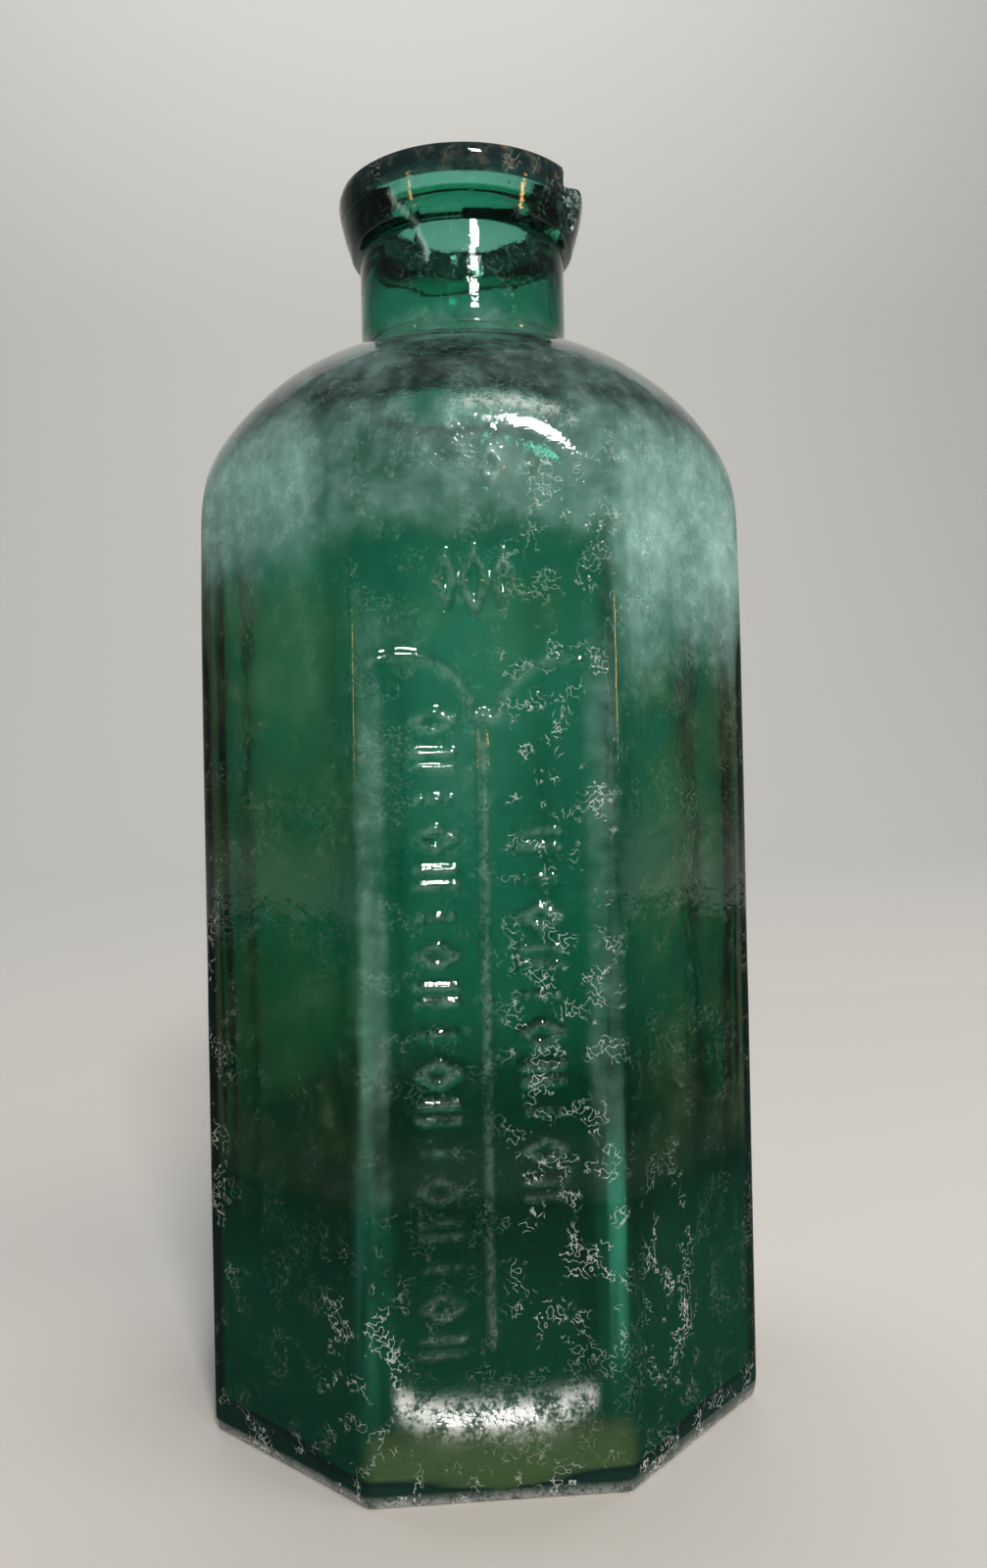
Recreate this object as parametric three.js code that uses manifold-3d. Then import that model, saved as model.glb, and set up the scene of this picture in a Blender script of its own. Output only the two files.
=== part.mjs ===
// Octagonal glass medicine bottle, about 149 mm tall, in millimetres with +Z up.
// The origin is the centre of the foot, and the front panel faces -Y.
// Two pieces of glass make it: a body blown in a two-part mould, and a tapered collar
// that was laid round the end of the neck afterwards and is chipped on one side.
import * as THREE from 'three';
import { mergeVertices } from 'three/addons/utils/BufferGeometryUtils.js';
import Module from 'manifold-3d';

const wasm = await Module();
wasm.setup();

// Body
const BODY_WIDTH = 65;          // across the two side panels
const BODY_DEPTH = 64;          // across the front and back panels
const FRONT_PANEL = 28;         // width of the front and back panels
const SIDE_PANEL = 27;          // width of the two side panels
const CORNER_RADIUS = 2.5;      // rounding of the upright edges, outside
const WALL = 2.4;
const INNER_CORNER_RADIUS = 8;  // the blown inside is rounder than the mould
const HEEL_HEIGHT = 2;
const HEEL_INSET = 0.6;

// Shoulder: a half ellipsoid, which cuts the panels to arched tops
const DOME_BASE = 102.3;
const DOME_RADIUS = 35.6;       // side to side
const DOME_RISE = 28.3;
const DOME_FLATTEN = 0.955;     // front to back, as a share of side to side

// Neck and bore
const NECK_RADIUS = 13.2;
const NECK_FILLET = 1.4;
const BORE_RADIUS = 10.6;
const NECK_END_RADIUS = 12.9;   // the end of the neck, inside the collar
const NECK_END = 145.4;

// Collar
const HEIGHT = 149;
const COLLAR_BOTTOM = 141;
const COLLAR_LOW_RADIUS = 14.3;
const COLLAR_TOP_RADIUS = 15.8;
const COLLAR_EDGE_RADIUS = 0.9;
const GLASS_GAP = 0.3;
const CHIP_AZIMUTH = THREE.MathUtils.degToRad(-26);  // from +X towards the front
const CHIP_HALF_WIDTH = 3.3;
const CHIP_DEPTH = 6.3;
const CHIP_INNER_RADIUS = 13;   // the chip stops at the neck's glass

// Foot
const FLOOR = 4.2;              // thickness of the glass under the cavity
const FLOOR_FILLET = 5;
const DISH_RADIUS = 19;         // the underside is dished inside a flat ring
const DISH_RISE = 3;

// Relief on the front panel
const RECESS_WIDTH = 20;
const RECESS_LOW = 9;
const RECESS_HIGH = 96;
const RECESS_DEPTH = 0.9;
const RECESS_SLOPE = 1.6;
const RELIEF = 0.5;             // how far the raised marks stand out of the recess
const RIB_WIDTH = 0.9;
const RIB_LOW = 14;
const RIB_FORK = 80;
const FORK_REACH = 8.2;
const MARK_LENGTH = 3.2;
const MARK_PITCH = 5.4;
const MARK_COLUMN = 5;          // distance of each column of marks from the rib

const ROUND_STEPS = 64;

/** The solid of a closed geometry, with its shared vertices merged. */
function solidOf(geometry) {
  const bare = geometry.clone();
  bare.deleteAttribute('normal');
  bare.deleteAttribute('uv');
  const merged = mergeVertices(bare, 1e-4);
  const corners = [];
  const index = merged.index.array;
  for (let i = 0; i < index.length; i += 3) {
    const [a, b, c] = index.subarray(i, i + 3);
    const isFlat = a === b || b === c || c === a;
    if (!isFlat) corners.push(a, b, c);
  }
  return new wasm.Manifold(new wasm.Mesh({
    numProp: 3,
    vertProperties: Float32Array.from(merged.attributes.position.array),
    triVerts: Uint32Array.from(corners),
  }));
}

/** A BufferGeometry with the faces of a solid. */
function geometryOf(solid) {
  const mesh = solid.getMesh();
  const geometry = new THREE.BufferGeometry();
  geometry.setAttribute('position', new THREE.BufferAttribute(mesh.vertProperties, mesh.numProp));
  geometry.setIndex(new THREE.BufferAttribute(mesh.triVerts, 1));
  geometry.computeVertexNormals();
  return geometry;
}

/** Turns a profile of (radius, height) points about the Z axis, then flattens it along Y. */
function revolve(points, flatten = 1) {
  const profile = points.map(([radius, height]) => new THREE.Vector2(radius, height));
  const turned = new THREE.LatheGeometry(profile, ROUND_STEPS);
  return solidOf(turned.rotateX(Math.PI / 2).scale(1, flatten, 1));
}

/** Points on an ellipse's arc about (centreX, centreY), between two angles in degrees. */
function arc(centreX, centreY, radiusX, radiusY, from, to, steps) {
  return Array.from({ length: steps + 1 }, (_, i) => {
    const angle = THREE.MathUtils.degToRad(from + (to - from) * i / steps);
    return [centreX + radiusX * Math.cos(angle), centreY + radiusY * Math.sin(angle)];
  });
}

/** The octagon of the body, drawn in by inset, with its corners rounded. */
function octagon(inset, cornerRadius) {
  const x = BODY_WIDTH / 2 - inset;
  const y = BODY_DEPTH / 2 - inset;
  const trim = inset * Math.tan(Math.PI / 8);
  const front = FRONT_PANEL / 2 - trim;
  const side = SIDE_PANEL / 2 - trim;
  const corners = [
    [front, -y], [x, -side], [x, side], [front, y],
    [-front, y], [-x, side], [-x, -side], [-front, -y],
  ].map(([a, b]) => new THREE.Vector2(a, b));
  const setback = cornerRadius * Math.tan(Math.PI / 8);
  const shape = new THREE.Shape();
  corners.forEach((corner, i) => {
    const before = corners[(i + 7) % 8];
    const after = corners[(i + 1) % 8];
    const start = corner.clone().add(before.clone().sub(corner).setLength(setback));
    const end = corner.clone().add(after.clone().sub(corner).setLength(setback));
    if (i === 0) shape.moveTo(start.x, start.y);
    else shape.lineTo(start.x, start.y);
    shape.quadraticCurveTo(corner.x, corner.y, end.x, end.y);
  });
  shape.closePath();
  return shape;
}

/** An upright octagonal prism whose lower edge is turned in by bevel over height. */
function prism(shape, low, bevel, height, steps) {
  const body = new THREE.ExtrudeGeometry(shape, {
    depth: HEIGHT - low,
    curveSegments: 4,
    bevelThickness: height,
    bevelSize: bevel,
    bevelOffset: -bevel,
    bevelSegments: steps,
  });
  return solidOf(body.translate(0, 0, low + height));
}

/** A half ellipsoid on a straight elliptical column, drawn in by inset. */
function shoulderDome(inset, steps) {
  const radius = DOME_RADIUS - inset;
  const profile = [
    [0, -1],
    [radius, -1],
    ...arc(0, DOME_BASE, radius, DOME_RISE - inset, 0, 90, steps).slice(0, -1),
    [0, DOME_BASE + DOME_RISE - inset],
  ];
  return revolve(profile, DOME_FLATTEN);
}

/** The height at which the dome, drawn in by inset, is as wide as radius. */
function domeHeight(radius, inset) {
  return DOME_BASE + (DOME_RISE - inset) * Math.sqrt(1 - (radius / (DOME_RADIUS - inset)) ** 2);
}

/** The outside of the neck, from inside the shoulder up to its end within the collar. */
function neckOutside() {
  const join = domeHeight(NECK_RADIUS, 0);
  return revolve([
    [0, DOME_BASE],
    [NECK_RADIUS + 2, DOME_BASE],
    [NECK_RADIUS + 2, join - 1.6],
    [NECK_RADIUS + 0.6, join + 0.1],
    [NECK_RADIUS, join + NECK_FILLET],
    [NECK_RADIUS, COLLAR_BOTTOM - 0.6],
    [NECK_END_RADIUS, COLLAR_BOTTOM - 0.1],
    [NECK_END_RADIUS, NECK_END - 0.6],
    [NECK_END_RADIUS - 0.6, NECK_END],
    [0, NECK_END],
  ]);
}

/** The bore, which widens into the dome below it and runs out past the mouth. */
function bore() {
  const join = domeHeight(BORE_RADIUS, WALL);
  return revolve([
    [0, DOME_BASE],
    [BORE_RADIUS + 1, DOME_BASE],
    [BORE_RADIUS + 1, join - 1.2],
    [BORE_RADIUS, join + 0.8],
    [BORE_RADIUS, HEIGHT],
    [0, HEIGHT],
  ]);
}

/** A low dome on the height low, used for the dished underside and the raised floor. */
function lowDome(radius, rise, low) {
  const sphere = (radius ** 2 + rise ** 2) / (2 * rise);
  const half = THREE.MathUtils.radToDeg(Math.asin(radius / sphere));
  const centre = low + rise - sphere;
  return revolve([
    [0, low - 1],
    [radius, low - 1],
    ...arc(0, centre, sphere, sphere, 90 - half, 90, 6).slice(0, -1),
    [0, low + rise],
  ]);
}

/** Pushes a flat outline, drawn in X and Z, from one depth along Y to another. */
function standingSlab(shape, nearY, farY, options = {}) {
  const slab = new THREE.ExtrudeGeometry(shape, {
    depth: farY - nearY,
    bevelEnabled: false,
    curveSegments: 6,
    ...options,
  });
  return solidOf(slab.rotateX(Math.PI / 2).translate(0, farY, 0));
}

/** The shallow sunk field of the front panel, with sloping sides and round corners. */
function recess() {
  const half = RECESS_WIDTH / 2;
  const corner = 3;
  const shape = new THREE.Shape();
  shape.moveTo(-half + corner, RECESS_LOW);
  shape.lineTo(half - corner, RECESS_LOW);
  shape.quadraticCurveTo(half, RECESS_LOW, half, RECESS_LOW + corner);
  shape.lineTo(half, RECESS_HIGH - corner);
  shape.quadraticCurveTo(half, RECESS_HIGH, half - corner, RECESS_HIGH);
  shape.lineTo(-half + corner, RECESS_HIGH);
  shape.quadraticCurveTo(-half, RECESS_HIGH, -half, RECESS_HIGH - corner);
  shape.lineTo(-half, RECESS_LOW + corner);
  shape.quadraticCurveTo(-half, RECESS_LOW, -half + corner, RECESS_LOW);
  const face = -BODY_DEPTH / 2;
  return standingSlab(shape, face - 2, face, {
    bevelEnabled: true,
    bevelThickness: RECESS_DEPTH,
    bevelSize: RECESS_SLOPE,
    bevelOffset: -RECESS_SLOPE,
    bevelSegments: 1,
  });
}

/** The raised line that runs up the panel and forks into two curved arms. */
function forkedRib() {
  const w = RIB_WIDTH / 2;
  const tip = RIB_FORK + 5;
  const shape = new THREE.Shape();
  shape.moveTo(-w, RIB_LOW);
  shape.lineTo(w, RIB_LOW);
  shape.lineTo(w, RIB_FORK - 1);
  shape.quadraticCurveTo(FORK_REACH / 2, tip - 0.5, FORK_REACH, tip - 0.5);
  shape.lineTo(FORK_REACH, tip + 0.4);
  shape.quadraticCurveTo(FORK_REACH / 2 - w, tip + 0.4, 0, RIB_FORK);
  shape.quadraticCurveTo(-FORK_REACH / 2 + w, tip + 0.4, -FORK_REACH, tip + 0.4);
  shape.lineTo(-FORK_REACH, tip - 0.5);
  shape.quadraticCurveTo(-FORK_REACH / 2, tip - 0.5, -w, RIB_FORK - 1);
  return reliefSlab(shape);
}

/** A mark of the relief: it stands out of the floor of the recess. */
function reliefSlab(shape) {
  const recessFloor = -BODY_DEPTH / 2 + RECESS_DEPTH;
  return standingSlab(shape, recessFloor - RELIEF, recessFloor + 0.4);
}

/** One plain mark, a lozenge or a bar in turn, centred at (x, z). */
function mark(x, z, isLozenge) {
  const half = MARK_LENGTH / 2;
  const waist = isLozenge ? 1.2 : 0.4;
  const shape = new THREE.Shape();
  if (isLozenge) {
    shape.moveTo(x - half, z);
    shape.lineTo(x, z - waist);
    shape.lineTo(x + half, z);
    shape.lineTo(x, z + waist);
  } else {
    shape.moveTo(x - half, z - waist);
    shape.lineTo(x + half, z - waist);
    shape.lineTo(x + half, z + waist);
    shape.lineTo(x - half, z + waist);
  }
  return reliefSlab(shape);
}

/** Adds two columns of plain marks beside the rib. */
function addMarks(body) {
  const columns = [
    { x: -MARK_COLUMN, low: 17, high: 79 },
    { x: MARK_COLUMN, low: 30, high: 70 },
  ];
  let marked = body;
  for (const { x, low, high } of columns) {
    for (let z = low, i = 0; z <= high; z += MARK_PITCH, i += 1) {
      marked = marked.add(mark(x, z, i % 3 === 1));
    }
  }
  return marked;
}

/** The blown body: octagon, arched panels, shoulder and neck, open at the mouth. */
function bottleBody() {
  const outside = prism(octagon(0, CORNER_RADIUS), 0, HEEL_INSET, HEEL_HEIGHT, 2)
    .intersect(shoulderDome(0, 18))
    .add(neckOutside())
    .subtract(lowDome(DISH_RADIUS, DISH_RISE, 0))
    .subtract(recess());
  const room = prism(octagon(WALL, INNER_CORNER_RADIUS), FLOOR, FLOOR_FILLET, FLOOR_FILLET, 4)
    .intersect(shoulderDome(WALL, 16))
    .subtract(lowDome(DISH_RADIUS - 3, DISH_RISE, FLOOR))
    .add(bore());
  return addMarks(outside.add(forkedRib())).subtract(room);
}

/** The piece that is broken out of the collar, as an outline pushed in from outside. */
function chip() {
  const half = CHIP_HALF_WIDTH;
  const shape = new THREE.Shape();
  shape.moveTo(-half, 1);
  shape.lineTo(-half - 0.3, 1.2 - CHIP_DEPTH);
  shape.lineTo(-half / 3, -CHIP_DEPTH);
  shape.lineTo(half * 0.6, 0.4 - CHIP_DEPTH);
  shape.lineTo(half, 2 - CHIP_DEPTH);
  shape.lineTo(half + 0.2, 1);
  const reach = COLLAR_TOP_RADIUS + 2;
  const depth = reach - CHIP_INNER_RADIUS;
  const wedge = new THREE.ExtrudeGeometry(shape, { depth, bevelEnabled: false });
  wedge.rotateX(Math.PI / 2).translate(0, -CHIP_INNER_RADIUS, HEIGHT);
  return solidOf(wedge.rotateZ(CHIP_AZIMUTH + Math.PI / 2));
}

/** The collar: it flares upwards, wraps the neck's end and forms the mouth. */
function lipCollar() {
  const innerRadius = NECK_END_RADIUS + GLASS_GAP;
  const edge = COLLAR_EDGE_RADIUS;
  const ring = revolve([
    [innerRadius, COLLAR_BOTTOM + 0.3],
    [innerRadius + 0.3, COLLAR_BOTTOM],
    [COLLAR_LOW_RADIUS - 0.4, COLLAR_BOTTOM + 0.5],
    [COLLAR_LOW_RADIUS, COLLAR_BOTTOM + 1.3],
    [COLLAR_LOW_RADIUS + 0.8, COLLAR_BOTTOM + 3.6],
    [COLLAR_TOP_RADIUS - 0.15, HEIGHT - 2.2],
    ...arc(COLLAR_TOP_RADIUS - edge, HEIGHT - edge, edge, edge, 0, 90, 4),
    [BORE_RADIUS + 0.8, HEIGHT],
    [BORE_RADIUS, HEIGHT - 0.8],
    [BORE_RADIUS, NECK_END + GLASS_GAP],
    [innerRadius - 0.6, NECK_END + GLASS_GAP],
    [innerRadius, NECK_END - 0.3],
    [innerRadius, COLLAR_BOTTOM + 0.3],
  ]);
  return ring.subtract(chip());
}

/** Bottle glass: the collar is a little deeper in colour, because it is thicker. */
function glass(colour) {
  return new THREE.MeshStandardMaterial({ color: colour, roughness: 0.12, metalness: 0 });
}

function piece(name, solid, colour) {
  const mesh = new THREE.Mesh(geometryOf(solid), glass(colour));
  mesh.name = name;
  return mesh;
}

const bottle = new THREE.Group();
bottle.add(piece('bottle_body', bottleBody(), 0x2f6a58));
bottle.add(piece('lip_collar', lipCollar(), 0x1f4f44));

export default bottle;
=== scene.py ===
"""An old octagonal medicine bottle of deep aqua-green glass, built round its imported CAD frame.

The body and the collar are rebuilt as fine meshes: blown walls of uneven thickness, sunk panels,
a raised forked rib with plain relief marks, and a chip and a crack at the collar.
Lengths in the mesh code are millimetres and become metres where the meshes are made.
"""
import math

import bmesh
import bpy
import numpy as np
from mathutils import Matrix, Vector, noise


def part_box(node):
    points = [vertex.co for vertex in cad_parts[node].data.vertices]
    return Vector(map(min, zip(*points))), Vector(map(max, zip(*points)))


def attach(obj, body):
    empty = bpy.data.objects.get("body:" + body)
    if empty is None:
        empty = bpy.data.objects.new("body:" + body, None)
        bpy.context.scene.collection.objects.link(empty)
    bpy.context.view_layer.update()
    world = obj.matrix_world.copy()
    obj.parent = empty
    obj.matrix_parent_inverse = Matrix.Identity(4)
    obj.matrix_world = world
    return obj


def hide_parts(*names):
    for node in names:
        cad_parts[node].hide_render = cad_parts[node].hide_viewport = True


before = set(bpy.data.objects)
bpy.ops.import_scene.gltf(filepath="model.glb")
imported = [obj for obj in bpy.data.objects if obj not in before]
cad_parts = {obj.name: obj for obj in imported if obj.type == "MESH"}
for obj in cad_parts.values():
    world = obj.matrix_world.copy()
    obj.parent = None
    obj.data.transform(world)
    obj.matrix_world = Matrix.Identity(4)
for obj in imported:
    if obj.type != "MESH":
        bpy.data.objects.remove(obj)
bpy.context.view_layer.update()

MM = 0.001

# The frame's own sizes, in millimetres
body_low, body_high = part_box("bottle_body")
collar_low, collar_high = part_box("lip_collar")
BODY_WIDTH = (body_high.x - body_low.x) / MM
BODY_DEPTH = (body_high.y - body_low.y) / MM
NECK_END = body_high.z / MM
COLLAR_LOW = collar_low.z / MM
HEIGHT = collar_high.z / MM
COLLAR_RADIUS = -collar_low.x / MM

# Body
FRONT_PANEL = 28.0
SIDE_PANEL = 27.0
TAPER = 0.8             # the front and back panels lean in by this much up to the shoulder
LEAN = 0.008            # the blown bottle leans to +X by this much for each unit of height
LEAN_CENTRE = 55.0
SKIN = 0.50             # how far the walls stay inside the frame's box
HEEL_HEIGHT = 2.0
HEEL_INSET = 0.6
OUTER_SHARPNESS = 170   # higher makes the upright edges crisper
INNER_SHARPNESS = 30
WALL_LOW = 3.3          # blown glass sags, so the wall thickens towards the foot
WALL_HIGH = 2.0

# Shoulder
DOME_BASE = 102.3
DOME_RADIUS = 35.6
DOME_RISE = 28.3
DOME_FLATTEN = 0.975
SHOULDER_WALL = 4.2     # the glass is thickest where the shoulder turns into the neck
CREASE_SHARPNESS = 60
DOME_FLARE = 0.08       # how fast the dome's cut widens below its base
WIDE = 60.0             # a dome too wide to cut the panels

# Neck and bore
NECK_RADIUS = 13.05
NECK_END_RADIUS = 12.95
BORE_RADIUS = 10.6
CRACK_DEPTH = 0.22

# Collar
COLLAR_EDGE_RADIUS = 0.9
JOINT_OVERLAP = 0.12    # the collar reaches this far into the neck's glass
CHIP_INNER_RADIUS = 13.0
CHIP_SEED = 3           # without a seed the broken face would differ from run to run
CHIP_LOW = 144.4

# Foot
FLOOR = 3.2
FLOOR_FILLET = 5.0
DISH_RADIUS = 19.0
DISH_RISE = 3.0

# Front panel
FRONT_FACE = -28.0      # points with a lower y are on the front panel
RECESS_LEFT = -10.0
RECESS_RIGHT = 9.3
RECESS_LOW = 6.6
RECESS_HIGH = 92.0
LEDGE_RUN = 3.6
RELIEF = 0.42           # how far the rib and the marks stand out
MARK_PITCH = 4.05
RIB_X = -0.4
FORK_HEIGHT = 80.7      # where the rib's two arms meet its stem

# Films: how much of the surface each one covers where it is thickest
COVER = {"haze": 0.68, "stain_and_shade": 0.07, "worm": 0.36, "wear_and_highlight": 0.5, "deep": 0.22, "foot": 0.2,
         "glow": 0.22, "rust": 0.8, "crack": 0.35, "rim": 0.75, "edge": 0.7}
MOST_COVER = 0.95

# Colours
CLEAN = (0.42, 0.84, 0.72, 1)
# olive-green staining; on the left side its blotches are painted shade
STAIN_AND_SHADE_GREEN = (0.40, 0.68, 0.32, 1)
HAZE = (0.50, 0.86, 0.79, 1)
# painted shade, darker towards the foot
LOW_SHADE_GREEN = (0.02, 0.20, 0.11, 1)
# painted olive shade at the front panel's foot
FOOT_SHADE_OLIVE = (0.12, 0.24, 0.10, 1)
# painted glow just inside the front panel's upright edges
PAINTED_GLOW_GREEN = (0.12, 0.75, 0.50, 1)
DARK_GRIME = (0.010, 0.028, 0.028, 1)
PALE_GRIME = (0.07, 0.085, 0.07, 1)
# painted shade along the corners and at the base's edge
EDGE_SHADE = (0.010, 0.035, 0.028, 1)
# white of the etching, the crack and worn places, and of painted highlights
ETCHED_AND_HIGHLIGHT_WHITE = (0.85, 0.90, 0.87, 1)
RUST = (0.20, 0.10, 0.045, 1)
VOLUME_GREEN = (0.03, 0.54, 0.44, 1)
DARK_FRACTURE = (0.03, 0.10, 0.09, 1)
PALE_FRACTURE = (0.24, 0.31, 0.30, 1)
PALE_FLOOR = (0.66, 0.64, 0.60, 1)
BLACK_CARD = (0.03, 0.035, 0.035, 1)
DIM_ROOM = (0.10, 0.105, 0.11, 1)

GLASS_IOR = 1.5
FUSED_IOR = 1.001       # the refraction fades out where the two pieces of glass are fused

# The meshes' columns and rows, and a length beyond every size here
COLUMNS = 240
COLLAR_COLUMNS = 256
PANEL_ROWS = 226
FAR = 1e3


def spaced(low, high, density, count):
    """count values from low to high, closer together where density(value) is larger."""
    fine = np.linspace(low, high, 4000)
    weight = density(fine)
    total = np.concatenate([[0], np.cumsum((weight[1:] + weight[:-1]) / 2)])
    return np.interp(np.linspace(0, total[-1], count), total, fine)


def bump(x, centre, width):
    return np.exp(-((x - centre) / width) ** 2)


def smooth(x, low, high):
    """0 below low, 1 above high, with a soft step between them."""
    t = np.clip((x - low) / (high - low), 0, 1)
    return t * t * (3 - 2 * t)


def column_angles():
    """Angles of the mesh's columns: close together on the front panel and at the eight edges."""
    front = -math.pi / 2
    half = math.atan2(FRONT_PANEL / 2, BODY_DEPTH / 2)

    def density(a):
        away = np.abs(np.angle(np.exp(1j * (a - front))))
        edges = sum(bump(np.angle(np.exp(1j * (a - e))), 0, 0.05) for e in EDGE_ANGLES)
        return 0.55 + 1.9 * (1 - smooth(away, half * 0.8, half * 1.05)) + 0.9 * edges

    return spaced(front, front + 2 * math.pi, density, COLUMNS + 1)[:-1]


def edge_angles():
    x, y = BODY_WIDTH / 2, BODY_DEPTH / 2
    corners = [(FRONT_PANEL / 2, y), (x, SIDE_PANEL / 2)]
    return [math.atan2(sy * b, sx * a) for a, b in corners for sx in (1, -1) for sy in (1, -1)]


def octagon(angle, sharpness):
    """Radius of the octagon at each angle, with soft corners."""
    slope_x, slope_y = BODY_WIDTH / 2 - FRONT_PANEL / 2, BODY_DEPTH / 2 - SIDE_PANEL / 2
    chamfer = math.atan2(slope_x, slope_y)
    reach = BODY_WIDTH / 2 * math.cos(chamfer) + SIDE_PANEL / 2 * math.sin(chamfer)
    panels = [(0, BODY_WIDTH / 2), (math.pi, BODY_WIDTH / 2)]
    panels += [(math.pi / 2, BODY_DEPTH / 2), (-math.pi / 2, BODY_DEPTH / 2)]
    panels += [(a, reach) for a in (chamfer, math.pi - chamfer, math.pi + chamfer, -chamfer)]
    least = 0.05
    return soft_min([np.where(np.cos(angle - a) > least, d / np.maximum(np.cos(angle - a), least), FAR)
                     for a, d in panels], sharpness)


def soft_min(values, sharpness):
    least = np.minimum.reduce([v + 0 * values[0] for v in values])
    total = sum((least / v) ** sharpness for v in values)
    return least * total ** (-1 / sharpness)


def slow_waves(angle, height, seed):
    """A slow waviness of about one unit, smooth all round, for hand-blown glass."""
    rng = np.random.default_rng(seed)
    total = 0
    for turns in (1, 2, 3, 5, 7):
        for _ in range(2):
            run = rng.uniform(-0.10, 0.10) * (1 + turns / 3)
            phase = rng.uniform(0, 2 * math.pi)
            total = total + np.sin(turns * angle + run * height + phase) / (1 + turns * 0.5)
    return total / 2.4


EDGE_ANGLES = edge_angles()
EDGE_TURN = math.degrees(math.atan2(BODY_WIDTH, SIDE_PANEL))    # from the front to a side panel's edge
ANGLES = column_angles()


def distance_to_stroke(x, z, start, end):
    ax, az = start
    bx, bz = end
    length = (bx - ax) ** 2 + (bz - az) ** 2
    t = np.clip(((x - ax) * (bx - ax) + (z - az) * (bz - az)) / max(length, 1e-9), 0, 1)
    return np.hypot(x - ax - t * (bx - ax), z - az - t * (bz - az))


def path_strokes(points):
    return list(zip(points[:-1], points[1:]))


def arc_points(centre, radii, start, end, steps):
    turns = np.radians(np.linspace(start, end, steps + 1))
    return [(centre[0] + radii[0] * math.cos(t), centre[1] + radii[1] * math.sin(t)) for t in turns]


def lozenge(x, z, half_x, half_z):
    ring = [(x - half_x, z), (x, z + half_z), (x + half_x, z), (x, z - half_z)]
    return path_strokes(ring + ring[:1])


def bar(x, z, half):
    return [((x - half, z), (x + half, z))]


def bead(x, z):
    return [((x, z), (x, z))]


def mark_column(x, low, high, start):
    """A column of plain marks: lozenges, pairs of bars and pairs of beads in turn."""
    strokes = []
    count = int((high - low) / MARK_PITCH) + 1
    for i in range(count):
        z = high - i * MARK_PITCH
        kind = (i + start) % 3
        if kind == 0:
            strokes += lozenge(x, z, 2.1, 1.1)
        elif kind == 1:
            strokes += bar(x, z + 0.8, 2.0) + bar(x, z - 0.8, 2.0)
        else:
            strokes += bead(x - 1.6, z) + bar(x, z, 0.4) + bead(x + 1.6, z)
    return strokes


def panel_relief(x, z):
    """Height of the raised rib and marks at points of the front panel."""
    fork = [(RIB_X, 80.5)]
    rib = path_strokes([(RIB_X - 0.3, 15.5), (RIB_X, 81)])
    rib += path_strokes(arc_points((-8.9, 79.6), (7.6, 7.8), 112, 12, 14) + fork)
    rib += path_strokes(arc_points((8.0, 79.4), (7.0, 7.2), 75, 168, 14) + fork)
    marks = mark_column(-5.7, 14, 80.5, 0) + mark_column(5.3, 28, 68, 1)
    marks += lozenge(-1, 95, 1.3, 3.2) + lozenge(-4.1, 95.2, 0.9, 2.6) + lozenge(2.1, 95.2, 0.9, 2.6)
    marks += lozenge(1, 107, 1.2, 1.6) + bead(1, 110)
    height = np.zeros_like(x)
    for strokes, half_width, rise in ((rib, 0.55, 0.9), (marks, 0.42, 1.0)):
        nearest = np.full_like(x, FAR)
        for start, end in strokes:
            nearest = np.minimum(nearest, distance_to_stroke(x, z, start, end))
        height = np.maximum(height, rise * np.exp(-(nearest / half_width) ** 4))
    joint = np.hypot(x - RIB_X, z - FORK_HEIGHT)
    return np.maximum(height, 1.3 * np.exp(-(joint / 0.9) ** 4)) * RELIEF


def front_recess(x, z):
    """Depth of the sunk field of the front panel, ending in a sloping ledge above the foot."""
    left = smooth(x, RECESS_LEFT - 1.6, RECESS_LEFT + 0.6)
    right = 1 - smooth(x, RECESS_RIGHT - 0.6, RECESS_RIGHT + 1.6)
    side = left * right
    corner = 3.0 * ((x - (RECESS_LEFT + RECESS_RIGHT) / 2) / 10.5) ** 4
    low = smooth(z - corner, RECESS_LOW, RECESS_LOW + LEDGE_RUN)
    high = 1 - smooth(z, RECESS_HIGH - 14, RECESS_HIGH + 6)
    depth = 0.55 + 1.15 * np.exp(-(z - RECESS_LOW) / 14)
    return depth * side * low * high


def outer_radius(height, dome, angle=None):
    """The body's outside: the octagon, cut by the dome, with sunk and slightly wavy panels."""
    angle = ANGLES[None, :] if angle is None else angle
    height = height[:, None]
    flat = octagon(angle, OUTER_SHARPNESS)
    plan = 1 / np.hypot(np.cos(angle), np.sin(angle) / DOME_FLATTEN)
    radius = soft_min([flat + 0 * height, dome[:, None] * plan], CREASE_SHARPNESS)
    share = (radius / flat) ** 40
    window = smooth(height, 8, 22) * (1 - smooth(height, 96, 108)) * share
    edge = np.min([np.abs(np.angle(np.exp(1j * (angle - e)))) for e in EDGE_ANGLES], axis=0)
    sag = 0.3 * smooth(edge, 0.02, 0.3) * window
    wave = 0.12 * slow_waves(angle, height, 4) * smooth(height, 3, 20) * smooth(edge, 0, 0.2)
    x = radius * np.cos(angle)
    front = (np.sin(angle) < -0.8) * (np.abs(x) < FRONT_PANEL / 2)
    z = height + 0 * x
    field = front * share * (front_recess(x, z) - panel_relief(x, z) * smooth(share, 0.3, 0.9))
    taper = TAPER * np.clip(height / DOME_BASE, 0, 1) * np.sin(angle) ** 6
    return radius - sag - field - taper - SKIN + wave


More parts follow.
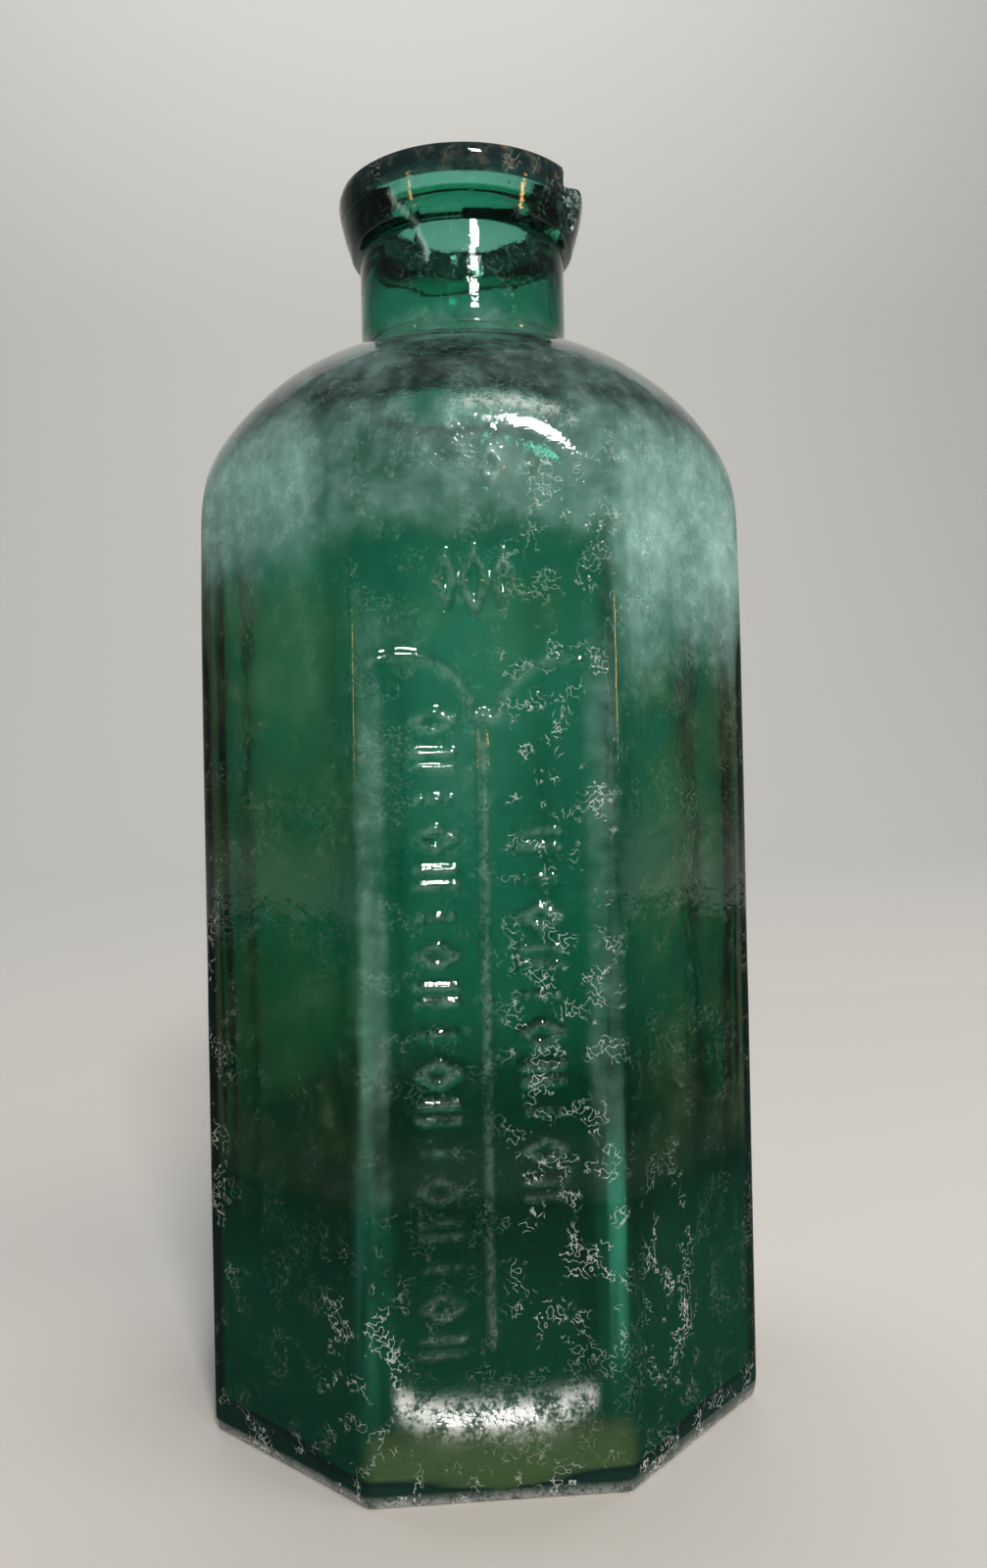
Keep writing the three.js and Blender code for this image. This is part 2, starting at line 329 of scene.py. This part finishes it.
def inner_radius(height, dome):
    """The inside wall: rounder than the outside, with thicker glass near the foot."""
    angle = ANGLES[None, :]
    height = height[:, None]
    wall = WALL_HIGH + (WALL_LOW - WALL_HIGH) * (1 - smooth(height, 10, 105))
    hollow = octagon(angle, INNER_SHARPNESS) - wall * (1.1 - 0.1 * np.sin(angle) ** 2)
    plan = 1 / np.hypot(np.cos(angle), np.sin(angle) / DOME_FLATTEN)
    radius = soft_min([hollow, dome[:, None] * plan], 40)
    x = radius * np.cos(angle)
    front = (np.sin(angle) < -0.8) * (np.abs(x) < FRONT_PANEL / 2)
    wave = 0.3 * slow_waves(angle, height, 9)
    taper = TAPER * np.clip(height / DOME_BASE, 0, 1) * np.sin(angle) ** 6
    sunk = 0.8 * front * front_recess(x, height + 0 * x)
    return radius - sunk - taper + wave * smooth(height, 12, 30)


def crack(angle, height, radius):
    """1 along the crack that runs from the collar down the neck, 0 away from it."""
    away = radius * np.angle(np.exp(1j * (angle + math.pi / 2)))
    # turns from the front in degrees, and heights
    route = [(-37, 144.6), (-35, 143.2), (-31, 142.2), (-27, 141), (-25, 139.2), (-22.5, 138.2),
             (-21.5, 136.6)]
    points = [(radius * math.radians(turn), z) for turn, z in route]
    nearest = np.full_like(away + 0 * height, FAR)
    for start, end in path_strokes(points):
        nearest = np.minimum(nearest, distance_to_stroke(away, height + 0 * away, start, end))
    return np.exp(-(nearest / 0.26) ** 2)


def film_zones(x, y, z, inside):
    """How much of each film there may be at points of the glass, from 0 to 1; some films are painted shade,
    glow and highlights.

    A patch is placed by its turn from the front and its half width, in degrees, and by its heights.
    """
    turn = np.degrees(np.arctan2(x, -y))
    spread = np.hypot(x, y)
    outside = 1 - inside
    front = smooth(-y, 4, 12)
    on_panel = y < FRONT_FACE
    everywhere = 0 * z

    def patch(centre, width, low, high, soft=9.0, fade=None):
        """A patch with soft ends; fade is the softness of the lower end, where it differs."""
        fade = fade or soft
        side = 1 - smooth(np.abs(turn - centre), width * 0.6, width * 1.2)
        return side * smooth(z, low - fade, low + fade) * (1 - smooth(z, high - soft, high + soft))

    # two stripes along the upright borders of the front panel
    left_border = 1 - smooth(np.abs(x + 12.2), 0.8, 2.4)
    right_border = 0.9 * (1 - smooth(np.abs(x - 11.8), 1.0, 2.8))
    border = (left_border + right_border) * on_panel * smooth(z, 6, 14) * (1 - smooth(z, 80, 104))
    haze = np.maximum.reduce([
        0.93 * patch(50, 28, 90, 113, 9, 14),
        1.05 * patch(-55, 26, 100, 114, 7, 11),
        0.4 * patch(0, 40, 100, 116, 3),
        0.3 * patch(10, 75, 115, 131, 3),
        0.10 * patch(-8, 14, 66, 98),
        0.04 * patch(50, 22, 10, 84),
        0.30 * border,
        0.008 + everywhere])
    # green staining; the olive blotches on the left side are painted shade
    stain_and_shade = np.maximum.reduce([
        patch(-50, 24, 78, 97, 6),
        0.6 * patch(-48, 26, 8, 80),
        0.8 * patch(52, 22, 72, 88),
        0.4 * patch(50, 24, 8, 74),
        0.35 * patch(0, 18, 86, 98),
        0.03 + everywhere])
    worm = np.maximum.reduce([
        patch(13, 12, 14, 92),
        patch(36, 9, 6, 34),
        0.8 * patch(-26, 10, 4, 26),
        0.7 * patch(-70, 12, 16, 66),
        0.6 * (1 - smooth(z, 2, 7)),
        0.6 * patch(20, 20, 88, 112),
        0.22 + everywhere])
    # painted glow: bright green strips of refracted light just inside the front panel's upright edges
    glow = np.maximum(0.8 * patch(21.8, 1.7, 12, 40, 8), 0.4 * patch(-23.5, 2.2, 10, 60, 10))

    # painted highlights on the ledge over the foot, the panel's arched top and the relief; worn heel and
    # relief crests
    ledge = bump(z, RECESS_LOW + 2.0 + 2.2 * (x / 10.5) ** 4, 1.7)
    ledge *= (1 - smooth(np.abs(x + 0.4), 9.6, 11.2)) * (y < -25)
    arch = bump(z, 114.0 - 0.022 * (x - 1) ** 2, 0.9)
    arch *= (1 - smooth(np.abs(x - 3), 3, 9)) * (y < -20)
    heel = 1 - smooth(z, 0.2, 1.6)
    crest = np.clip(panel_relief(x, z) / RELIEF, 0, 1) * on_panel
    wear_and_highlight = np.maximum.reduce([ledge, 0.7 * arch, 0.35 * heel, 0.22 * crest * outside])

    # painted shade: darker towards the foot, olive at the front panel's foot, darker along the corners and
    # at the base's edge
    corner = (1 - smooth(np.abs(np.abs(turn) - EDGE_TURN), 1.5, 4.5)) * (1 - smooth(z, 84, 100))
    base = 1 - smooth(z - 0.10 * np.abs(x), 0.6, 1.8)
    edge = np.maximum(base, 0.45 * corner)
    deep = 1 - smooth(z, 14, 40)
    foot = (1 - smooth(z, 5, 9)) * (1 - smooth(np.abs(x), 12, 15)) * front

    rust = np.maximum(patch(84, 9, 97, 106, 2), 0.5 * patch(20, 60, 145.5, 149.5, 1))
    rim = smooth(z, 145.4, 146.6) * (1 - 0.7 * smooth(y, -2, 6)) * (spread > 12.4)
    # where the collar and the neck are fused there is no surface to be seen
    fused = ((z > COLLAR_LOW + 0.6) & (z < NECK_END + 0.01) & (spread > BORE_RADIUS + 0.45)
             & (spread < NECK_END_RADIUS + 0.15)).astype(float)
    films = {"haze": haze * np.where(y < 0, 1, 0.6), "stain_and_shade": stain_and_shade * front, "deep": deep, "edge": edge,
             "foot": foot, "glow": glow, "worm": worm * front, "wear_and_highlight": wear_and_highlight, "rust": rust, "rim": rim}
    films = {name: amount * outside for name, amount in films.items()}
    return films | {"fused": fused, "frost": inside * smooth(z, 126, 130)}


class Rings:
    """Stacked rings of one closed mesh, from the pole under the foot to the pole on the floor."""

    def __init__(self, columns):
        self.columns = columns
        self.radii = []
        self.heights = []
        self.inside = []

    def add(self, radius, height, inside=0):
        radius = np.atleast_2d(radius) + np.zeros((1, self.columns))
        height = np.atleast_2d(height)
        if height.shape[0] == 1 and height.shape[1] == radius.shape[0] and radius.shape[0] > 1:
            height = height.T
        self.radii.append(radius)
        self.heights.append(height + 0 * radius)
        self.inside.append(inside + 0 * radius)

    def mesh(self, name, angles, poles):
        """The mesh of the rings. poles gives the end points' heights, or None for a closed ring."""
        radius = np.concatenate(self.radii)
        height = np.concatenate(self.heights)
        rows = len(radius)
        inside = np.concatenate(self.inside).ravel()
        points = np.stack([radius * np.cos(angles), radius * np.sin(angles), height], -1).reshape(-1, 3)
        here = np.arange(self.columns)
        after = (here + 1) % self.columns
        low = np.arange(rows - 1)[:, None] * self.columns
        quads = np.stack([low + here, low + after, low + after + self.columns,
                          low + here + self.columns], -1).reshape(-1, 4)
        faces = quads.tolist()
        if poles is None:
            last = (rows - 1) * self.columns
            faces += np.stack([last + here, last + after, after, here], -1).tolist()
        else:
            points = np.concatenate([points, [[0, 0, poles[0]], [0, 0, poles[1]]]])
            inside = np.concatenate([inside, [0, 1]])
            first, final = rows * self.columns, rows * self.columns + 1
            last = (rows - 1) * self.columns
            faces += [[first, b, a] for a, b in zip(here.tolist(), after.tolist())]
            faces += [[final, last + a, last + b] for a, b in zip(here.tolist(), after.tolist())]
        films = film_zones(*points.T, inside)
        turns = np.arctan2(points[:, 1], points[:, 0])
        films["crack"] = crack(turns, points[:, 2], NECK_RADIUS) * (1 - inside)
        points[:, 0] += LEAN * (points[:, 2] - LEAN_CENTRE)
        mesh = bpy.data.meshes.new(name)
        mesh.from_pydata((points * MM).tolist(), [], faces)
        for film, amounts in films.items():
            layer = mesh.attributes.new(film, "FLOAT", "POINT")
            layer.data.foreach_set("value", amounts.astype(np.float32))
        mesh.update()
        return mesh


def quarter(steps, start=0, end=90):
    turns = np.radians(np.linspace(start, end, steps + 1))
    return np.cos(turns), np.sin(turns)


def dish(radius, reach, rise):
    return rise * (1 - smooth(radius, 0, reach))


def bore_waves(height):
    return 0.2 * slow_waves(ANGLES, 5 * height, 33)


def body_foot(rings):
    """The dished underside and the rounded heel."""
    foot = outer_radius(np.array([HEEL_HEIGHT]), np.array([WIDE]))[0] - HEEL_INSET
    for share in (0.12, 0.25, 0.37, 0.46, 0.55, 0.63, 0.75, 0.88, 0.97):
        rings.add(share * foot, dish(share * foot, DISH_RADIUS, DISH_RISE))
    cosines, sines = quarter(7)
    for cosine, sine in zip(cosines, sines):
        rings.add(foot + HEEL_INSET * sine, HEEL_HEIGHT * (1 - cosine))


def body_outside(rings):
    """The panels, the domed shoulder and the neck, up to the neck's end."""
    # the straight part, with rows close together where the relief is
    def density(z):
        return 0.5 + smooth(z, 5, 8) - 0.3 * smooth(z, 99, 102)

    rows = spaced(HEEL_HEIGHT, DOME_BASE, density, PANEL_ROWS)[1:]
    rings.add(outer_radius(rows, DOME_RADIUS + DOME_FLARE * (DOME_BASE - rows)), rows)
    join = math.degrees(math.acos(NECK_RADIUS / DOME_RADIUS))
    cosines, sines = quarter(52, 0, join - 2.2)
    dome_rows = DOME_BASE + DOME_RISE * sines[1:]
    rings.add(outer_radius(dome_rows, DOME_RADIUS * cosines[1:]), dome_rows)
    # a small fillet turns the dome into the neck
    top = DOME_BASE + DOME_RISE * math.sin(math.radians(join))
    neck_wave = 0.10 * slow_waves(ANGLES, 0, 21)
    for radius, height in ((0.75, -0.05), (0.35, 0.5), (0.12, 1.2)):
        rings.add(NECK_RADIUS + radius + neck_wave, top + height)
    for height in np.arange(top + 2.0, COLLAR_LOW + 0.5, 0.42):
        rings.add(NECK_RADIUS + neck_wave - CRACK_DEPTH * crack(ANGLES, height, NECK_RADIUS), height)
    # the end inside the collar, and the turn into the bore
    rings.add(NECK_END_RADIUS + neck_wave * 0.3, COLLAR_LOW + 0.8)
    for radius, drop in ((NECK_END_RADIUS, 1.2), (NECK_END_RADIUS - 0.2, 0.4), (NECK_END_RADIUS - 0.6, 0.05),
                         (BORE_RADIUS + 0.6, 0.05), (BORE_RADIUS + 0.15, 0.4)):
        rings.add(radius, NECK_END - drop)


def body_inside(rings):
    """The bore, the inside of the shoulder and the panels, and the floor."""
    room_radius = DOME_RADIUS - WALL_HIGH
    room_rise = DOME_RISE - SHOULDER_WALL
    join = math.degrees(math.acos(BORE_RADIUS / room_radius))
    top = DOME_BASE + room_rise * math.sin(math.radians(join))
    for height in np.linspace(NECK_END - 1.2, top + 2.2, 14):
        swell = 0.35 + bump(height, 135, 7)
        rings.add(BORE_RADIUS + swell + bore_waves(height), height, 1)
    rings.add(BORE_RADIUS + 0.25 + bore_waves(top), top + 1, 1)
    rings.add(BORE_RADIUS + 0.8 + bore_waves(top), top + 0.1, 1)
    cosines, sines = quarter(24, join - 4, 0)
    dome_rows = DOME_BASE + room_rise * sines
    rings.add(inner_radius(dome_rows, room_radius * cosines), dome_rows, 1)
    rows = np.linspace(DOME_BASE, FLOOR + FLOOR_FILLET, 50)[1:]
    rings.add(inner_radius(rows, room_radius + DOME_FLARE * (DOME_BASE - rows)), rows, 1)
    room = inner_radius(np.array([FLOOR + FLOOR_FILLET]), np.array([WIDE]))[0]
    cosines, sines = quarter(12)
    for cosine, sine in list(zip(cosines, sines))[1:]:
        rings.add(room - FLOOR_FILLET * (1 - cosine), FLOOR + FLOOR_FILLET * (1 - sine), 1)
    floor = room - FLOOR_FILLET
    for share in (0.9, 0.78, 0.66, 0.54, 0.42, 0.3, 0.15):
        rings.add(share * floor, FLOOR + dish(share * floor, DISH_RADIUS - 2, DISH_RISE), 1)


def body_mesh():
    rings = Rings(COLUMNS)
    body_foot(rings)
    body_outside(rings)
    body_inside(rings)
    return rings.mesh("body_glass", ANGLES, (DISH_RISE, FLOOR + DISH_RISE))


def collar_mesh():
    """The collar, a closed ring that wraps the neck's end and forms the mouth."""
    angles = np.linspace(0, 2 * math.pi, COLLAR_COLUMNS, endpoint=False)
    rings = Rings(COLLAR_COLUMNS)
    inner = NECK_END_RADIUS - JOINT_OVERLAP
    low, top, end = COLLAR_LOW, HEIGHT, NECK_END
    wave = 0.13 * slow_waves(angles, 0, 5)
    # the flared side, then the rounded edge, the mouth, and the joint with the neck
    outline = [(inner, low + 0.35), (inner + 0.35, low + 0.05), (13.9, low + 0.3), (14.25, low + 0.8),
               (14.4, low + 1.4), (14.75, low + 2.4), (15.1, low + 3.6), (15.4, low + 4.8),
               (15.62, low + 5.9), (15.72, low + 6.6)]
    edge = COLLAR_EDGE_RADIUS
    edge_centre = COLLAR_RADIUS - 0.1 - edge
    cosines, sines = quarter(6)
    outline += [(edge_centre + edge * c, top - edge + edge * s) for c, s in zip(cosines, sines)]
    outline += [(13.5, top - 0.05), (12.0, top - 0.08), (11.3, top - 0.15), (10.85, top - 0.5),
                (BORE_RADIUS, top - 1.2), (BORE_RADIUS, end + 0.8), (BORE_RADIUS + 0.05, end - 0.15),
                (BORE_RADIUS + 0.7, end - 0.2), (inner - 0.5, end - 0.2), (inner, end - 0.6)]
    fine = []
    for (r0, z0), (r1, z1) in path_strokes(outline):
        count = max(1, round(math.hypot(r1 - r0, z1 - z0) / 0.45))
        fine += [(r0 + (r1 - r0) * i / count, z0 + (z1 - z0) * i / count) for i in range(count)]
    for radius, height in fine + outline[-1:]:
        outside = radius > inner + 0.2 and height < top - 0.3
        groove = 0.25 * crack(angles, height, radius) if outside else 0
        rings.add(radius + wave * (0.7 if outside else 0.15) - (0.1 if outside else 0) - groove, height)
    return rings.mesh("collar_glass", angles, None)


def chip_cutter():
    """A rough wedge in the shape of the piece broken out of the collar."""
    grid = bmesh.new()
    bmesh.ops.create_cube(grid, size=2)
    bmesh.ops.subdivide_edges(grid, edges=grid.edges, cuts=24, use_grid_fill=True)
    noise.seed_set(CHIP_SEED)
    for vertex in grid.verts:
        across, out, up = ((c + 1) / 2 for c in vertex.co)
        radius = CHIP_INNER_RADIUS + (COLLAR_RADIUS + 2 - CHIP_INNER_RADIUS) * out
        first, last = 49 + 3 * out, 68 + 11 * out       # turns from the front, in degrees
        low = CHIP_LOW - 1.6 * across + 0.5 * math.sin(7 * across)
        turn = math.radians(first + (last - first) * across - 90)
        height = low + (HEIGHT + 3 - low) * up
        place = Vector((radius * math.cos(turn), radius * math.sin(turn), height))
        for size, depth in ((2.6, 0.7), (1.1, 0.28), (0.5, 0.12)):
            place += depth * noise.noise_vector(place / size + Vector((size * 9, 0, 0)))
        place.x += LEAN * (place.z - LEAN_CENTRE)
        vertex.co = place * MM
    mesh = bpy.data.meshes.new("chip_cutter")
    bmesh.ops.reverse_faces(grid, faces=grid.faces)
    grid.to_mesh(mesh)
    grid.free()
    return mesh


def break_chip(collar, fracture):
    """Cut the chip out of the collar and give the broken faces their own material."""
    cutter = make_object("chip_cutter", chip_cutter())
    cutter.data.materials.append(fracture)
    cut = collar.modifiers.new("chip", "BOOLEAN")
    cut.operation, cut.solver, cut.material_mode, cut.object = "DIFFERENCE", "EXACT", "TRANSFER", cutter
    bpy.context.view_layer.update()
    broken = bpy.data.meshes.new_from_object(collar.evaluated_get(bpy.context.evaluated_depsgraph_get()))
    collar.modifiers.clear()
    collar.data = broken
    broken.set_sharp_from_angle(angle=math.radians(38))
    bpy.data.objects.remove(cutter)


def make_object(name, mesh):
    obj = bpy.data.objects.new(name, mesh)
    bpy.context.scene.collection.objects.link(obj)
    for polygon in mesh.polygons:
        polygon.use_smooth = True
    return obj


# --- materials -------------------------------------------------------------------------------

class Graph:
    """A material's node tree, with short calls for the nodes used here."""

    def __init__(self, name):
        self.material = bpy.data.materials.new(name)
        self.material.use_nodes = True
        self.nodes = self.material.node_tree.nodes
        self.links = self.material.node_tree.links
        self.shader = self.nodes["Principled BSDF"]
        self.coords = self.nodes.new("ShaderNodeTexCoord").outputs["Object"]

    def feed(self, socket, value):
        if isinstance(value, bpy.types.NodeSocket):
            self.links.new(value, socket)
        else:
            socket.default_value = value

    def math(self, operation, a, b=0.0):
        node = self.nodes.new("ShaderNodeMath")
        node.operation = operation
        self.feed(node.inputs[0], a)
        self.feed(node.inputs[1], b)
        return node.outputs[0]

    def times(self, a, b):
        return self.math("MULTIPLY", a, b)

    def plus(self, *values):
        total = values[0]
        for value in values[1:]:
            total = self.math("ADD", total, value)
        return total

    def noise(self, scale, detail, roughness=0.6, stretch=(1, 1, 1)):
        place = self.nodes.new("ShaderNodeMapping")
        place.inputs["Scale"].default_value = stretch
        self.links.new(self.coords, place.inputs["Vector"])
        node = self.nodes.new("ShaderNodeTexNoise")
        node.inputs["Scale"].default_value = scale
        node.inputs["Detail"].default_value = detail
        node.inputs["Roughness"].default_value = roughness
        self.links.new(place.outputs[0], node.inputs["Vector"])
        return node.outputs["Fac"]

    def step(self, value, low, high):
        """0 where value is below low, 1 above high, soft between."""
        node = self.nodes.new("ShaderNodeMapRange")
        node.interpolation_type = "SMOOTHSTEP"
        self.feed(node.inputs["Value"], value)
        node.inputs["From Min"].default_value = low
        node.inputs["From Max"].default_value = high
        return node.outputs[0]

    def zone(self, name):
        node = self.nodes.new("ShaderNodeAttribute")
        node.attribute_name = name
        return node.outputs["Fac"]

    def blend(self, amount, under, over):
        node = self.nodes.new("ShaderNodeMix")
        node.data_type = "RGBA"
        self.feed(node.inputs["Factor"], amount)
        self.feed(node.inputs["A"], under)
        self.feed(node.inputs["B"], over)
        return node.outputs["Result"]


def add_relief(g, height, strength, distance):
    relief = g.nodes.new("ShaderNodeBump")
    relief.inputs["Strength"].default_value = strength
    relief.inputs["Distance"].default_value = distance
    g.feed(relief.inputs["Height"], height)
    g.feed(g.shader.inputs["Normal"], relief.outputs[0])


def old_glass(name, density):
    """Deep aqua-green glass: pale haze, green staining, worm-like etching, worn places, rust, painted shade,
    glow and highlights.
    """
    g = Graph(name)
    patches = g.noise(110, 2)
    mottle = g.noise(520, 3, 0.65)
    grain = g.noise(2600, 1)
    streaks = g.noise(300, 2, 0.6, (1, 1, 0.12))
    cloud = g.plus(g.times(patches, 0.5), g.times(mottle, 0.3), g.times(streaks, 0.2))

    # how much of each film there is
    ragged = g.plus(g.zone("haze"), g.times(g.plus(cloud, -0.5), 0.9))
    clouds = g.times(g.step(cloud, 0.32, 0.64), 0.36)
    flecks = g.times(g.step(mottle, 0.50, 0.74), 0.12)
    haze = g.times(g.step(ragged, 0.0, 1.15), g.plus(0.52, clouds, flecks))
    # staining, with painted shade in the left side's blotches
    stain_and_shade = g.times(g.zone("stain_and_shade"), g.step(patches, 0.22, 0.78))
    contour = g.math("ABSOLUTE", g.math("SUBTRACT", g.noise(1250, 1, 0.5), 0.5))
    lines = g.math("SUBTRACT", 1, g.step(contour, 0.010, 0.040))
    worm = g.times(g.times(g.zone("worm"), lines), g.step(g.noise(300, 2), 0.50, 0.58))
    # worn places, and painted highlights on the ledge, the arched top and the relief
    scuff_and_highlight_grain = g.plus(g.times(mottle, 0.6), g.times(grain, 0.4))
    wear_and_highlight = g.times(g.zone("wear_and_highlight"), g.plus(g.step(scuff_and_highlight_grain, 0.38, 0.6), 0.15))
    rust = g.times(g.zone("rust"), g.step(g.noise(420, 2), 0.60, 0.68))
    # painted glow: bright green strips of refracted light
    glow = g.times(g.zone("glow"), g.step(streaks, 0.3, 0.6))
    # deep, foot and edge are painted shade
    deep, foot, crack_line, rim, edge = map(g.zone, ("deep", "foot", "crack", "rim", "edge"))

    # the films' colour, one over the other: deposits, painted shade, a painted glow and painted highlights
    grime = g.blend(g.step(mottle, 0.44, 0.70), DARK_GRIME, PALE_GRIME)
    pale = g.math("MINIMUM", g.plus(worm, wear_and_highlight, g.times(crack_line, 0.7)), 1)
    colour = CLEAN
    for amount, gain, tint in ((stain_and_shade, 4, STAIN_AND_SHADE_GREEN), (haze, 5, HAZE), (deep, 3, LOW_SHADE_GREEN), (foot, 3, FOOT_SHADE_OLIVE),
                               (glow, 1, PAINTED_GLOW_GREEN), (rim, 8, grime), (edge, 3, EDGE_SHADE),
                               (pale, 1, ETCHED_AND_HIGHLIGHT_WHITE), (rust, 1, RUST)):
        share = amount if gain == 1 else g.math("MINIMUM", g.times(amount, gain), 1)
        colour = g.blend(share, colour, tint)
    g.feed(g.shader.inputs["Base Color"], colour)

    films = {"haze": haze, "stain_and_shade": stain_and_shade, "worm": worm, "wear_and_highlight": wear_and_highlight, "deep": deep, "foot": foot,
             "glow": glow, "rust": rust, "crack": crack_line, "rim": rim, "edge": edge}
    cover = g.plus(*(g.times(amount, COVER[film]) for film, amount in films.items()))
    bare = g.math("SUBTRACT", 1, g.zone("fused"))
    g.feed(g.shader.inputs["Transmission Weight"],
           g.math("SUBTRACT", 1, g.times(g.math("MINIMUM", cover, MOST_COVER), bare)))
    g.feed(g.shader.inputs["Roughness"],
           g.plus(0.025, g.times(haze, 0.16), g.times(wear_and_highlight, 0.25), g.times(worm, 0.2),
                  g.times(g.zone("frost"), 0.07)))
    g.feed(g.shader.inputs["IOR"], g.plus(FUSED_IOR, g.times(bare, GLASS_IOR - FUSED_IOR)))
    add_relief(g, g.plus(g.times(patches, 0.9), g.times(mottle, 0.25), g.times(cover, 0.3)), 0.35, 0.0004)
    absorption = g.nodes.new("ShaderNodeVolumeAbsorption")
    absorption.inputs["Color"].default_value = VOLUME_GREEN
    absorption.inputs["Density"].default_value = density
    g.links.new(absorption.outputs[0], g.nodes["Material Output"].inputs["Volume"])
    return g.material


def fracture_glass():
    """The broken face of thick glass: glossy ripples with dark and grey grain."""
    g = Graph("fracture_glass")
    ripples = g.noise(900, 3, 0.6)
    dirt = g.noise(1300, 2, 0.5)
    g.feed(g.shader.inputs["Base Color"], g.blend(g.step(dirt, 0.40, 0.72), DARK_FRACTURE, PALE_FRACTURE))
    g.feed(g.shader.inputs["Transmission Weight"],
           g.math("SUBTRACT", 0.75, g.times(g.step(dirt, 0.42, 0.66), 0.5)))
    g.feed(g.shader.inputs["Roughness"], g.plus(0.08, g.times(dirt, 0.35)))
    g.shader.inputs["IOR"].default_value = GLASS_IOR
    add_relief(g, ripples, 0.6, 0.0003)
    return g.material


# --- stage -------------------------------------------------------------------------------------

def area_light(name, place, target, size, power, colour, mirrored=True):
    """A soft box. One that isn't mirrored lights the scene but doesn't show in the glass."""
    data = bpy.data.lights.new(name, "AREA")
    data.shape = "RECTANGLE"
    data.size, data.size_y = size
    data.energy = power
    data.color = colour
    light = bpy.data.objects.new(name, data)
    bpy.context.scene.collection.objects.link(light)
    light.location = place
    light.rotation_euler = (Vector(target) - Vector(place)).to_track_quat("-Z", "Y").to_euler()
    light.visible_glossy = light.visible_transmission = mirrored
    return light


def plain_matt(name, colour):
    g = Graph(name)
    g.shader.inputs["Base Color"].default_value = colour
    g.shader.inputs["Roughness"].default_value = 0.9
    return g.material


def make_floor():
    """A pale floor that sweeps up into a far pale wall behind the bottle."""
    half_width, front, bend_start, bend, wall_top = 6, -3, 0.9, 0.8, 2.2
    turns = np.radians(np.linspace(0, 90, 25))
    profile = [(front, 0)]
    profile += [(bend_start + bend * math.sin(t), bend * (1 - math.cos(t))) for t in turns]
    profile += [(bend_start + bend, wall_top)]
    points = [(x, y, z) for y, z in profile for x in (-half_width, half_width)]
    faces = [(i, i + 1, i + 3, i + 2) for i in range(0, len(points) - 2, 2)]
    mesh = bpy.data.meshes.new("floor")
    mesh.from_pydata(points, [], faces)
    floor = make_object("floor", mesh)
    floor.data.materials.append(plain_matt("pale_floor", PALE_FLOOR))


def make_cards():
    """Black cards that only mirrored rays see, so that the glass isn't veiled by the pale floor."""
    black = plain_matt("black_card", BLACK_CARD)
    reach, near, back, lift = 0.6, -1.4, 0.25, 0.001
    side, front = body_high.x, body_low.y
    panel, edge = FRONT_PANEL / 2 * MM, SIDE_PANEL / 2 * MM
    front_card = [(-reach, near), (reach, near), (reach, front), (-reach, front)]
    right_card = [(panel, front), (reach, front), (reach, back), (side, back), (side, -edge)]
    left_card = [(-x, y) for x, y in reversed(right_card)]
    for name, corners in (("card_front", front_card), ("card_right", right_card), ("card_left", left_card)):
        sheet = bpy.data.meshes.new(name)
        sheet.from_pydata([(x, y, lift) for x, y in corners], [], [tuple(range(len(corners)))])
        card = make_object(name, sheet)
        card.data.materials.append(black)
        card.visible_camera = card.visible_diffuse = card.visible_transmission = card.visible_shadow = False


def make_world():
    world = bpy.data.worlds.new("soft_room")
    bpy.context.scene.world = world
    world.use_nodes = True
    world.node_tree.nodes["Background"].inputs["Color"].default_value = DIM_ROOM
    world.node_tree.nodes["Background"].inputs["Strength"].default_value = 1


def make_lights():
    white, warm = (1.0, 0.98, 0.95), (1.0, 0.5, 0.16)
    area_light("key", (0.12, -0.61, 0.457), (0, 0, 0.12), (0.09, 0.10), 3.0, white)
    area_light("wall_wash", (0.0, 0.5, 1.9), (0, 1.7, 0.5), (2.0, 0.8), 25, (0.98, 1.0, 1.02), False)
    area_light("soft_front", (0.55, -0.5, 0.9), (0, 0, 0.05), (0.9, 0.6), 4.5, (1.0, 0.95, 0.88), False)
    area_light("warm_left", (-0.31, -0.27, 0.125), (0, 0, 0.085), (0.02, 0.07), 0.05, warm)
    area_light("warm_right", (0.33, -0.24, 0.125), (0, 0, 0.085), (0.02, 0.07), 0.10, warm)


def make_camera():
    """A near camera, a little left of the bottle's middle, at about half of its height."""
    data = bpy.data.cameras.new("camera")
    camera = bpy.data.objects.new("camera", data)
    bpy.context.scene.collection.objects.link(camera)
    data.sensor_width = 36
    data.lens = 27.55
    data.clip_start = 0.01
    yaw, pitch, roll = math.radians(3.95), math.radians(0.07), math.radians(1.60)
    turn = Matrix.Rotation(-yaw, 3, "Z") @ Matrix.Rotation(pitch, 3, "X") @ Matrix.Rotation(roll, 3, "Y")
    right, forward, up = (turn @ Vector(axis) for axis in ((1, 0, 0), (0, 1, 0), (0, 0, 1)))
    camera.matrix_world = Matrix((right, up, -forward)).transposed().to_4x4()
    camera.location = Vector((-0.12, -2.38, 1.135)) * BODY_WIDTH * MM
    bpy.context.scene.camera = camera


# --- build -------------------------------------------------------------------------------------

body = make_object("bottle_body_glass", body_mesh())
body.data.materials.append(old_glass("deep_aqua_glass", 780))
collar = make_object("lip_collar_glass", collar_mesh())
collar.data.materials.append(old_glass("old_collar_glass", 240))
break_chip(collar, fracture_glass())

for piece, node, slot in ((body, "bottle_body", "body_glass"), (collar, "lip_collar", "collar_glass")):
    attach(piece, "root")
    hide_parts(node)

make_floor()
make_cards()
make_world()
make_camera()
make_lights()
bpy.context.scene.view_settings.view_transform = "Standard"
